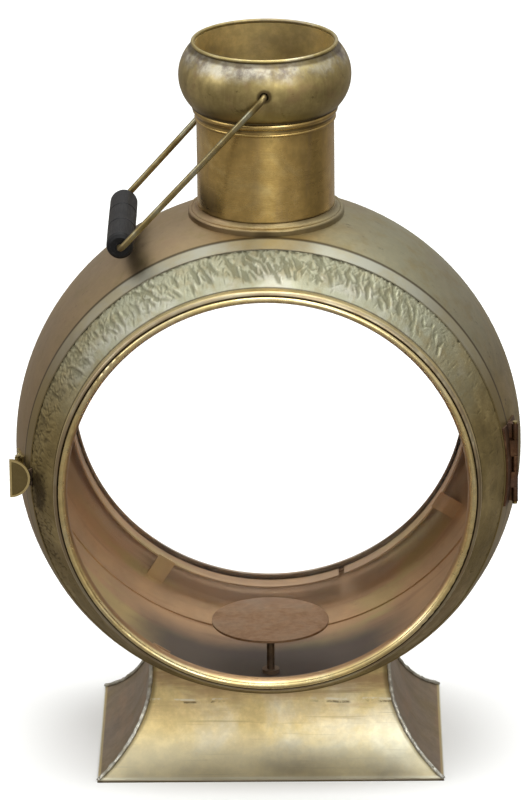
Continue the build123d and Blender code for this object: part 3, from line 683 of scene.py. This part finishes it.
def plinth_finish(tree, shader, where, color, rough):
    """Smudges and rubbing lines along the sheets, two creases painted as shade and highlight, grey-green low
    down, and a bright hem: a painted highlight on the foot's top and painted shade down its side.
    """
    tint = colours()
    parts = axes(tree, where)
    height = parts["Z"]
    along = noise(tree, mapped(tree, where, scale=(0.28, 0.28, 1.7)), 62.0, 5.0, 0.62)
    upper = ramp(tree, uneven(tree, height, where, 30.0, 30 * MM), 30 * MM, 60 * MM)
    smudge = times(tree, ramp(tree, along, 0.42, 0.62), plus(tree, times(tree, upper, 0.6), 0.08))
    color = mix(tree, smudge, color, tint.copper)
    scratch = noise(tree, mapped(tree, where, scale=(0.06, 0.06, 2.2)), 240.0, 2.0, 0.5)
    color = coat(tree, color, tint.olive, ramp(tree, scratch, 0.6, 0.72), 0.35)
    greenish = ramp(tree, uneven(tree, height, where, 22.0, 14 * MM), 30 * MM, 8 * MM)
    color = coat(tree, color, mix(tree, 0.75, tint.verdigris, tint.silver), greenish, 0.5)
    grey = times(tree, patches(tree, where, 24.0, 3.0, 0.55, 0.5, 0.64), ramp(tree, height, 30 * MM, 10 * MM))
    color = coat(tree, color, tint.pewter, grey, 0.12)
    beside = beside_solder(tree, where, parts, 4.5 * MM)
    color = coat(tree, color, mix(tree, 0.5, tint.olive, tint.umber), beside, 0.7)
    bent = uneven(tree, height, where, 18.0, 5 * MM)
    broken = patches(tree, where, 85.0, 4.0, 0.7, 0.44, 0.56)
    broken = times(tree, broken, ramp(tree, positive(tree, parts["X"]), 20 * MM, 40 * MM))
    # Each crease is painted: a dark line of shade beside a bright line of highlight.
    for place, strength, paint in ((42.0 * MM, 0.7, tint.umber), (43.6 * MM, 0.7, tint.silver)):
        crease = times(tree, line_at(tree, bent, place, 0.9 * MM), broken)
        color = coat(tree, color, paint, crease, strength)
    # Painted highlight along the top of the foot plate, and painted shade down its side below.
    hem = line_at(tree, height, FOOT_HIGH.z + 0.3 * MM, 1.0 * MM)
    color = coat(tree, color, tint.silver, hem, 0.7)
    below = ramp(tree, height, FOOT_HIGH.z - 0.3 * MM, FOOT_HIGH.z - 0.7 * MM)
    return coat(tree, color, tint.umber, below, 0.8), rough


def side_finish(tree, shader, where, color, rough):
    """Smudges on the plinth's sides, dark beside the solder, with a painted highlight along the edge at the
    foot.
    """
    tint = colours()
    parts = axes(tree, where)
    smudge = noise(tree, mapped(tree, where, scale=(1.4, 0.3, 1.0)), 55.0, 5.0, 0.65)
    color = coat(tree, color, tint.copper, ramp(tree, smudge, 0.45, 0.65), 0.4)
    beside = beside_solder(tree, where, parts, 5.0 * MM)
    color = coat(tree, color, tint.umber, beside, 0.6)
    # Painted highlight along the edge at the foot.
    hem = line_at(tree, parts["Z"], FOOT_HIGH.z + 0.3 * MM, 0.8 * MM)
    return coat(tree, color, tint.straw, hem, 0.5), rough


def hook_finish(tree, shader, where, color, rough):
    """Dark olive on the tongue's face, bright on its raised rim."""
    tint = colours()
    proud = times(tree, axes(tree, where)["Y"], -1.0)
    face = line_at(tree, proud, -HOOK_LOW.y - 0.8 * MM, 0.35 * MM)
    color = coat(tree, color, mix(tree, 0.5, tint.olive, tint.umber), face, 0.75)
    lip = ramp(tree, proud, -HOOK_LOW.y - 0.3 * MM, -HOOK_LOW.y - 0.05 * MM)
    return coat(tree, color, tint.straw, lip, 0.7), rough


AMOUNTS = ("Cloud", "Rubbed", "Tarnish", "Stained", "Lines", "Pits", "Smooth", "Rough")


def metal_finishes():
    """Bright, body, dark and stain colours of each metal, its finish, and the amounts that AMOUNTS names."""
    return {
        "drum": ("gold olive umber smoke", drum_finish, (22.0, 0.25, 0.3, 0.25, 0.25, 0.6, 0.36, 0.52)),
        "lining": ("rose lining copper smoke", lining_finish, (16.0, 0.4, 0.25, 0.2, 0.3, 0.3, 0.38, 0.55)),
        "bezel": ("silver straw gold olive", bezel_finish, (35.0, 0.3, 0.3, 0.35, 0.1, 0.1, 0.2, 0.34)),
        "chimney": ("straw gold olive rose", tube_finish, (24.0, 0.7, 0.3, 0.35, 0.5, 0.15, 0.22, 0.33)),
        "sleeve": ("silver straw gold bronze", None, (30.0, 0.3, 0.3, 0.6, 0.4, 0.15, 0.42, 0.55)),
        "bulb": ("straw bronze olive rose", bulb_finish, (30.0, 0.3, 0.5, 0.3, 0.2, 0.5, 0.36, 0.46)),
        "mouth_wire": ("silver bronze olive smoke", None, (30.0, 0.6, 0.5, 0.5, 0.0, 0.1, 0.36, 0.48)),
        "rear_ring": ("silver rose lining smoke", None, (30.0, 0.4, 0.4, 0.4, 0.1, 0.1, 0.4, 0.5)),
        "plinth": ("silver straw gold rose", plinth_finish, (18.0, 0.75, 0.15, 0.12, 0.2, 0.35, 0.32, 0.46)),
        "plinth_side": ("rose drab olive smoke", side_finish, (22.0, 0.3, 0.45, 0.3, 0.2, 0.4, 0.36, 0.5)),
        "solder": ("silver pewter olive smoke", None, (120.0, 0.6, 0.5, 0.3, 0.0, 0.3, 0.35, 0.5)),
        "plate": ("rose copper umber smoke", None, (40.0, 0.5, 0.2, 0.15, 0.1, 0.2, 0.5, 0.65)),
        "wire": ("verdigris olive umber smoke", None, (60.0, 0.7, 0.4, 0.2, 0.2, 0.2, 0.3, 0.45)),
        "hook": ("straw bronze olive umber", hook_finish, (90.0, 0.5, 0.6, 0.3, 0.2, 0.3, 0.3, 0.45)),
        "hinge": ("copper rust umber smoke", None, (90.0, 0.5, 0.6, 0.3, 0.1, 0.3, 0.35, 0.5)),
        "pin": ("straw bronze olive smoke", None, (120.0, 0.4, 0.5, 0.1, 0.0, 0.2, 0.2, 0.35)),
        "stem": ("copper drab umber smoke", None, (80.0, 0.3, 0.6, 0.3, 0.0, 0.3, 0.45, 0.65)),
        "burnt": ("copper soot umber smoke", None, (80.0, 0.2, 0.5, 0.3, 0.0, 0.3, 0.45, 0.65)),
    }


METALS = {}


def metal(name):
    """One of the lantern's metals, made the first time that it is asked for."""
    if name not in METALS:
        paints, finish, amounts = metal_finishes()[name]
        bright, body, dark, stain = [getattr(colours(), paint) for paint in paints.split()]
        METALS[name] = aged(name + "_metal", bright, body, dark, stain, finish, **dict(zip(AMOUNTS, amounts)))
    return METALS[name]


def hammered_metal():
    """Pale grey-green on top, patina with a painted reflection of the bright sky; olive down the sides, dark
    in the chisel marks, bright on their burrs.
    """
    tint = colours()
    made, tree, shader, where = blank_material("hammered_brass")
    look = group(tree, "aged_metal", Vector=where, Bright=tint.straw, Body=tint.olive, Dark=tint.umber,
                 Stain=tint.rose, Cloud=30.0, Rubbed=0.3, Tarnish=0.25, Stained=0.3, Lines=0.1, Pits=0.5,
                 Smooth=0.54, Rough=0.64)
    spot = group(tree, "round_the_drum", Vector=where, Along=0.25)
    streaks = noise(tree, spot["Wall"], 380.0, 3.0, 0.6)
    # Pale on top: grey-green patina and a painted reflection of the bright sky overhead.
    crown = ramp(tree, uneven(tree, spot["Up"], where, 20.0, 0.5), 0.2, 0.8)
    color = coat(tree, look["Color"], tint.verdigris, crown, 0.8)
    relief = node(tree, "ShaderNodeAttribute", {"attribute_name": "relief"}).outputs["Fac"]
    cut = ramp(tree, relief, -0.03, -0.5)
    burr = ramp(tree, relief, 0.03, 0.25)
    color = coat(tree, color, tint.olive, ramp(tree, streaks, 0.5, 0.7), 0.3)
    mottle = patches(tree, mapped(tree, where, (0.2, 0.7, 0.4)), 75.0, 5.0, 0.7, 0.46, 0.66)
    color = coat(tree, color, tint.olive, mottle, 0.4)
    chill = patches(tree, mapped(tree, where, (0.7, 0.1, 0.5)), 38.0, 4.0, 0.6, 0.46, 0.62)
    chill = times(tree, chill, ramp(tree, spot["Front"], -RIM_LOW.y + 4 * MM, -SHELL_LOW.y - 6 * MM))
    chill = times(tree, chill, crown)
    color = coat(tree, color, tint.pewter, chill, 0.5)
    color = coat(tree, color, tint.silver, burr, 0.25)
    color = coat(tree, color, mix(tree, crown, tint.umber, tint.moss), cut, 0.62)
    rough = plus(tree, look["Roughness"], times(tree, cut, 0.12))
    color, rough = seams(tree, spot, where, color, rough)
    color, rough = lined(tree, shader, spot, where, color, rough)
    height = plus(tree, look["Height"], times(tree, streaks, 0.8))
    height = plus(tree, height, times(tree, noise(tree, where, 420.0, 4.0, 0.7), 1.4))
    connect(tree, shader, Base_Color=color, Roughness=rough, Normal=bump(tree, height, 0.3, 0.0008))
    return made


def grip_material():
    """Black-stained turned wood, with the grain running along the grip."""
    made, tree, shader, where = blank_material("black_grip")
    grain = noise(tree, mapped(tree, where, scale=(900.0, 90.0, 900.0)), 1.0, 4.0, 0.6)
    worn = patches(tree, where, 60.0, 4.0, 0.55, 0.5, 0.75)
    color = coat(tree, colours().ebony, (0.024, 0.022, 0.024), worn, 0.5)
    color = coat(tree, color, (0.028, 0.025, 0.026), ramp(tree, grain, 0.5, 0.7), 0.4)
    rough = ramp(tree, grain, 0.3, 0.7, 0.42, 0.6)
    connect(tree, shader, Base_Color=color, Roughness=rough, Normal=bump(tree, grain, 0.35, 0.0004))
    shader.inputs["Specular IOR Level"].default_value = 0.22
    return made


def glass_material():
    """Clear window glass with a little dust, stronger at a slant."""
    made, tree, shader, where = blank_material("clear_glass")
    dust = patches(tree, where, 30.0, 6.0, 0.7, 0.5, 0.75)
    slant = node(tree, "ShaderNodeLayerWeight", {}, Blend=0.25).outputs["Fresnel"]
    cover = plus(tree, times(tree, slant, 0.32), times(tree, dust, 0.012))
    connect(tree, shader, Base_Color=(0.97, 0.985, 0.975), Roughness=ramp(tree, dust, 0.0, 1.0, 0.02, 0.08),
            Alpha=cover)
    shader.inputs["IOR"].default_value = 1.45
    shader.inputs["Transmission Weight"].default_value = 1.0
    return made


# ---------------------------------------------------------------- chisel marks
def press(field, across, along, spots, order, sorted_across, mark):
    """Adds one mark to the relief: its place, half width, half length, slant, depth and burr."""
    place, reach, half_width, half_length, slant, depth, burr = mark
    span = half_length + 3 * half_width
    first, last = np.searchsorted(sorted_across, (place - span, place + span))
    near = order[first:last]
    away, out = across[near] - place, along[near] - reach
    turned = away * math.cos(slant) + out * math.sin(slant)
    run = (out * math.cos(slant) - away * math.sin(slant)) / half_length
    body = np.clip(1 - run ** 2, 0, None)
    groove = -np.exp(-(turned / half_width) ** 2)
    lifted = burr * np.exp(-((turned / half_width - 1.7) ** 2) * 1.3)
    field[spots[near]] += depth * body * (groove + lifted)


def chisel_marks(count, depth):
    """Dabs in a row beside the rim, strokes and long strokes across the band, and shallow dents."""
    draw = random.Random(MARK_SEED)
    marks = []
    for _ in range(count):
        angle = math.radians(draw.uniform(-180, 180))
        turn = math.degrees(angle)
        crowded = min(1.0, max(0.05, (62 - turn) / 30 if turn > 0 else (128 + turn) / 30))
        if draw.random() > crowded:
            continue
        if draw.random() < 0.35:
            reach = draw.uniform(7.8, 13.0) * MM
            shape = (draw.uniform(0.5, 0.85) * MM, draw.uniform(1.0, 2.4) * MM, draw.gauss(0, 0.5))
        else:
            reach = draw.triangular(9.0, 40.0, 19.0) * MM
            shape = (draw.uniform(0.35, 0.75) * MM, draw.uniform(1.2, 4.6) * MM, draw.gauss(0.0, 0.45))
        marks.append((angle * BAND_R, reach, *shape, depth * draw.uniform(0.35, 1.0), draw.uniform(0.2, 0.6)))
    for _ in range(count // 45):
        angle = math.radians(draw.triangular(-75, 65, -5))
        shape = (draw.uniform(0.8, 1.5) * MM, draw.uniform(4.0, 8.0) * MM, draw.gauss(-0.3, 0.25))
        marks.append((angle * BAND_R, draw.uniform(16.0, 34.0) * MM, *shape, depth * draw.uniform(1.0, 1.8),
                      0.5))
    for _ in range(260):
        dent = draw.uniform(4.0, 8.0) * MM
        marks.append((draw.uniform(-math.pi, math.pi) * BAND_R, draw.uniform(8.0, 36.0) * MM, dent,
                      dent * 1.6, draw.uniform(-1, 1), depth * draw.uniform(0.1, 0.3), 0.0))
    return marks


def carve(piece, marks):
    """Presses the marks into the outside of a spun band and keeps the relief as an attribute."""
    mesh = piece.data
    flat = np.empty(len(mesh.vertices) * 3, np.float32)
    mesh.vertices.foreach_get("co", flat)
    co = flat.reshape(-1, 3).astype(float)
    rise = co[:, 2] - DRUM_Z
    radius = np.hypot(co[:, 0], rise)
    edge = 0.0003
    outside = (radius > wall_radius(co[:, 1]) - edge) & (co[:, 1] < SHELL_HIGH.y - edge) & (
        co[:, 1] > SHELL_LOW.y + edge)
    spots = np.nonzero(outside)[0]
    across = np.arctan2(co[spots, 0], rise[spots]) * BAND_R
    along = MERIDIAN * (np.arcsin(-co[spots, 1] / MERIDIAN) - math.asin(-SHELL_HIGH.y / MERIDIAN))
    order = np.argsort(across)
    field = np.zeros(len(co))
    for mark in marks:
        press(field, across, along, spots, order, across[order], mark)
    field = np.clip(field, -DEEPEST, HIGHEST)
    lean = co[:, 1] / MERIDIAN
    upright = np.sqrt(1 - lean ** 2)
    normal = np.stack([co[:, 0] / radius * upright, lean, rise / radius * upright], axis=1)
    co += normal * field[:, None]
    mesh.vertices.foreach_set("co", co.astype(np.float32).ravel())
    relief = mesh.attributes.new("relief", "FLOAT", "POINT")
    relief.data.foreach_set("value", (field / MM).astype(np.float32))
    mesh.update()


# ---------------------------------------------------------------- one operator for each piece or group
class LanternPart(bpy.types.Operator):
    """What the lantern's operators share: each makes its pieces."""

    bl_options = {"REGISTER", "UNDO"}

    def execute(self, context):
        self.make(context)
        return {"FINISHED"}


class LANTERN_OT_stage(LanternPart):
    """Floor, soft studio light and the camera"""

    bl_idname = "lantern.stage"
    bl_label = "Stage"

    def make(self, context):
        self.floor()
        self.world(context.scene)
        self.lights()
        self.camera(context.scene)
        context.scene.view_settings.view_transform = "Standard"

    def floor(self):
        """A pale floor that metal sees as bright in front and darker at the sides and behind."""
        nothing_selected()
        bpy.ops.mesh.primitive_plane_add(size=sizes().floor_size, location=(0, 0, 0))
        floor = bpy.context.object
        floor.name = "floor"
        made, tree, shader, where = blank_material("pale_floor")
        connect(tree, shader, Base_Color=FLOOR_WHITE, Roughness=0.9, Specular_IOR_Level=0.1)
        spread = mapped(tree, where, shift=(-0.28, 1.45, 0), scale=(1.25, 0.75, 1))
        pool = ramp(tree, length_of(tree, spread), 1.0, 0.1)
        glow = mix(tree, pool, FLOOR_FAR, FLOOR_NEAR)
        beside = mapped(tree, where, shift=(-2.2, 0.05, 0), scale=(1.8, 1.3, 1))
        beside = length_of(tree, beside)
        glow = coat(tree, glow, FLOOR_BESIDE, ramp(tree, beside, 1.0, 0.6), 0.9)
        lit = node(tree, "ShaderNodeEmission", {}, Color=glow)
        seen = self.mirrored(tree)
        both = node(tree, "ShaderNodeMixShader", {}, i0=seen, i1=shader.outputs[0], i2=lit.outputs[0])
        surface = next(n for n in tree.nodes if n.type == "OUTPUT_MATERIAL")
        tree.links.new(both.outputs[0], surface.inputs[0])
        dress_piece(floor, made)

    def mirrored(self, tree):
        """One for what is seen by reflection in a glossy surface."""
        path = node(tree, "ShaderNodeLightPath").outputs
        return times(tree, path["Is Glossy Ray"], path["Is Reflection Ray"])

    def world(self, scene):
        world = bpy.data.worlds.new("studio")
        scene.world = world
        world.use_nodes = True
        tree = world.node_tree
        tree.nodes.clear()
        direction = node(tree, "ShaderNodeTexCoord").outputs["Generated"]
        parts = axes(tree, direction)
        low = mix(tree, ramp(tree, parts["Z"], 0.0, 0.45), SKY_LOW, SKY_MIDDLE)
        sky = mix(tree, ramp(tree, parts["Z"], 0.45, 0.92), low, SKY_TOP)
        front = ramp(tree, plus(tree, times(tree, parts["Y"], -1.0), times(tree, parts["X"], 0.35)), 0.55,
                     1.0)
        sky = coat(tree, sky, SKY_FRONT, front, 0.6)
        seen = node(tree, "ShaderNodeLightPath").outputs["Is Camera Ray"]
        background = node(tree, "ShaderNodeBackground", {}, Color=mix(tree, seen, sky, BACKDROP))
        surface = tree.nodes.new("ShaderNodeOutputWorld")
        tree.links.new(background.outputs[0], surface.inputs[0])

    def lights(self):
        for name, place, size, power in LIGHTS:
            data = bpy.data.lights.new(name, "AREA")
            data.size = size
            data.energy = power
            light = bpy.data.objects.new(name, data)
            bpy.context.scene.collection.objects.link(light)
            light.location = place
            light.rotation_euler = (LIGHT_TARGET - Vector(place)).to_track_quat("-Z", "Y").to_euler()
            light.visible_camera = False

    def camera(self, scene):
        data = bpy.data.cameras.new("camera")
        data.lens = sizes().camera_lens
        data.clip_end = 60
        camera = bpy.data.objects.new("camera", data)
        scene.collection.objects.link(camera)
        camera.location = CAMERA_PLACE
        facing = (CAMERA_TARGET - CAMERA_PLACE).to_track_quat("-Z", "Y").to_matrix().to_4x4()
        camera.rotation_euler = facing.to_euler()
        camera.rotation_euler.rotate_axis("Z", CAMERA_ROLL)
        scene.camera = camera


class LANTERN_OT_drum(LanternPart):
    """Finishes the drum, its rims and its lining"""

    bl_idname = "lantern.drum"
    bl_label = "Drum"

    def make(self, context):
        dress(metal("drum"), "drum_band", "rear_shell", "neck_flange", "door_rim")
        dress(metal("lining"), "door_seat", "rear_seam_strip", "rear_hoop", "rear_clips", "door_hoop",
              "door_clips")
        dress(metal("bezel"), "door_bezel")
        dress(metal("rear_ring"), "rear_bezel")
        dress(glass_material(), "rear_glass", "door_glass")


class LANTERN_OT_hammered_door(LanternPart):
    """Spins the door's band and cuts its chisel marks"""

    bl_idname = "lantern.hammered_door"
    bl_label = "Hammered door"

    def make(self, context):
        steps, rings, inner_rings = ((1500, 57, 3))
        rear, front = SHELL_HIGH.y, SHELL_LOW.y
        outline = [self.at(rear + (front - rear) * i / rings, 0.0) for i in range(rings + 1)]
        outline += [self.at(front + (rear - front) * i / inner_rings, WALL) for i in range(inner_rings + 1)]
        shell = draw_outline("hammered_shell", outline + outline[:1])
        spin_closed(steps, (0, 0, DRUM_Z), (0, 1, 0))
        carve(shell, chisel_marks(sizes().fleck_count, sizes().fleck_depth))
        dress_piece(shell, hammered_metal())
        own(shell, "door", "hammered_brass", "door_shell")

    def at(self, y, depth):
        return (float(wall_radius(y)) - depth, y, DRUM_Z)


class LANTERN_OT_chimney(LanternPart):
    """Finishes the chimney and its bulged crown"""

    bl_idname = "lantern.chimney"
    bl_label = "Chimney"

    def make(self, context):
        dress(metal("chimney"), "chimney_tube", "chimney_bead")
        dress(metal("sleeve"), "mouth_sleeve")
        dress(metal("bulb"), "chimney_bulb")
        dress(metal("mouth_wire"), "rim_wire")


class LANTERN_OT_bail(LanternPart):
    """Finishes the wire bail and its turned grip"""

    bl_idname = "lantern.bail"
    bl_label = "Bail and grip"

    def make(self, context):
        dress(metal("wire"), "bail_wire")
        dress(grip_material(), "grip")


class LANTERN_OT_plinth(LanternPart):
    """Finishes the plinth and lays the solder down its corners"""

    bl_idname = "lantern.plinth"
    bl_label = "Plinth"

    def make(self, context):
        dress(metal("plinth"), "plinth_front", "plinth_back", "foot_plate")
        dress(metal("plinth_side"), "plinth_left", "plinth_right")
        solder = lumpy_copy("solder_seams", "lantern", 0.42 * MM, sizes().seam_lump, 4.0 * MM, "corner_beads")
        dress_piece(solder, metal("solder"))


class LANTERN_OT_candle_plate(LanternPart):
    """Finishes the candle plate and its stem"""

    bl_idname = "lantern.candle_plate"
    bl_label = "Candle plate"

    def make(self, context):
        dress(metal("plate"), "candle_plate")
        dress(metal("stem"), "candle_stem")
        dress(metal("lining"), "stem_foot")


class LANTERN_OT_hardware(LanternPart):
    """Finishes the hinge and the catch"""

    bl_idname = "lantern.hardware"
    bl_label = "Hinge and catch"

    def make(self, context):
        dress(metal("hinge"), "hinge_leaf_body", "hinge_leaf_door")
        dress(metal("pin"), "hinge_pin", "catch_pin", "catch_rivets")
        dress(metal("hook"), "catch_leaf", "catch_hook")
        patch = lumpy_copy("keeper_solder", "door", 0.4 * MM, sizes().keeper_lump, 2.5 * MM, "catch_keeper")
        dress_piece(patch, metal("burnt"))


PARTS = (LANTERN_OT_stage, LANTERN_OT_drum, LANTERN_OT_hammered_door, LANTERN_OT_chimney, LANTERN_OT_bail,
         LANTERN_OT_plinth, LANTERN_OT_candle_plate, LANTERN_OT_hardware)


class LANTERN_PT_panel(bpy.types.Panel):
    """Lists the lantern's pieces and what may be changed"""

    bl_label = "Ship Lantern"
    bl_idname = "LANTERN_PT_panel"
    bl_space_type = "VIEW_3D"
    bl_region_type = "UI"
    bl_category = "Lantern"

    def draw(self, context):
        for part in PARTS:
            self.layout.operator(part.bl_idname)
        for settings in (context.scene.lantern_colours, context.scene.lantern_sizes):
            for name in settings.__annotations__:
                self.layout.prop(settings, name)


CLASSES = (LanternColours, LanternSizes, *PARTS, LANTERN_PT_panel)


def register():
    for made in CLASSES:
        bpy.utils.register_class(made)
    bpy.types.Scene.lantern_colours = bpy.props.PointerProperty(type=LanternColours)
    bpy.types.Scene.lantern_sizes = bpy.props.PointerProperty(type=LanternSizes)


def unregister():
    del bpy.types.Scene.lantern_colours
    del bpy.types.Scene.lantern_sizes
    for made in reversed(CLASSES):
        bpy.utils.unregister_class(made)


def main():
    """Makes everything in order."""
    register()
    for part in PARTS:
        group_name, call = part.bl_idname.split(".")
        getattr(getattr(bpy.ops, group_name), call)()


if __name__ == "__main__":
    main()
